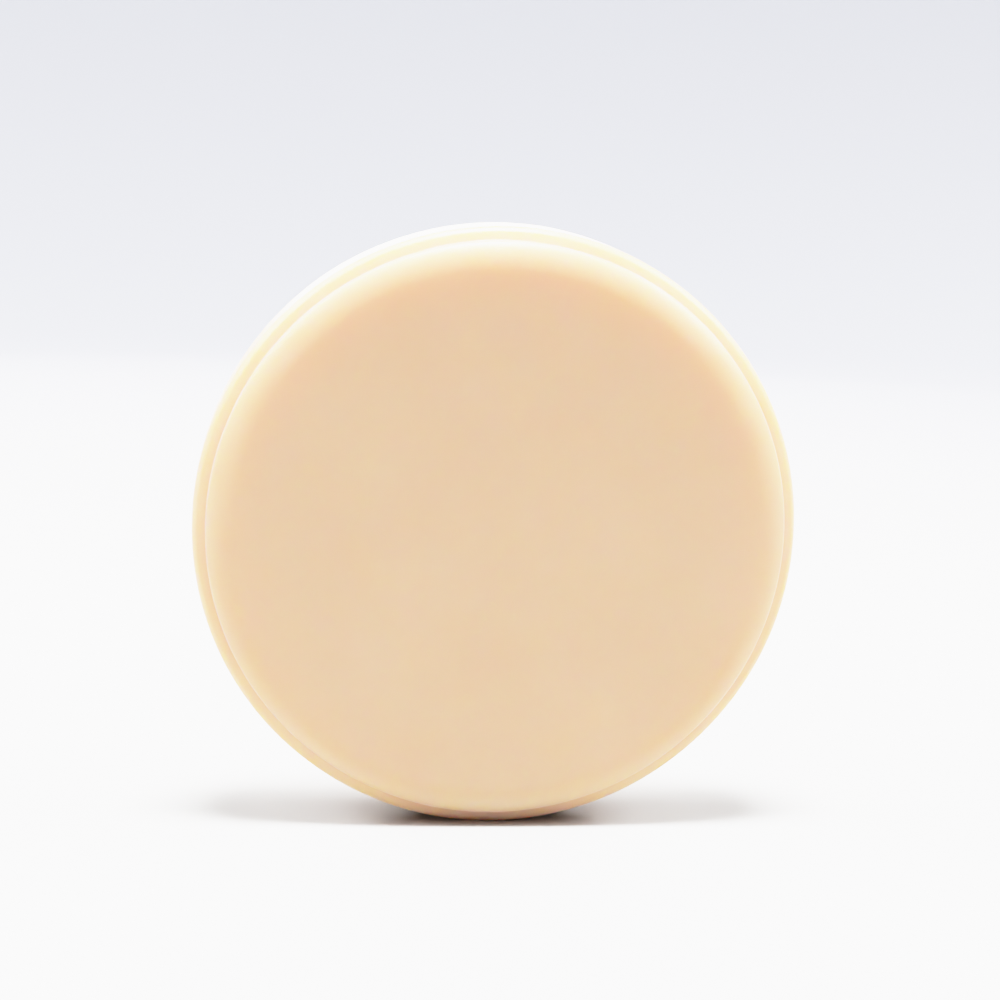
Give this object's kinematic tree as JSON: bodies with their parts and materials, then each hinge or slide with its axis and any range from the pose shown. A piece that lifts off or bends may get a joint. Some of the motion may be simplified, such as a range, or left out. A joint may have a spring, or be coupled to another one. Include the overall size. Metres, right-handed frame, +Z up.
{
  "type": "shaving soap puck",
  "caption": "Round pressed puck of hard shaving soap: two soft-edged raised faces stepped in from a slightly wider rim band, for a shaving mug or bowl.",
  "frame": {"origin": "on the surface the puck stands on, under the middle of its thickness: the lowest point of the rim band's centre line", "axes": "+Y along the puck's round axis, from the front face to the back face; +Z up through the puck's centre; +X to the right of someone facing the front face"},
  "size_m": [0.075, 0.013, 0.0749],
  "materials": {
    "soap": "satin milled soap, pale cream peach, slightly translucent at the edges"
  },
  "bodies": {
    "root": {"soap_puck": "soap"}
  },
  "joints": []
}
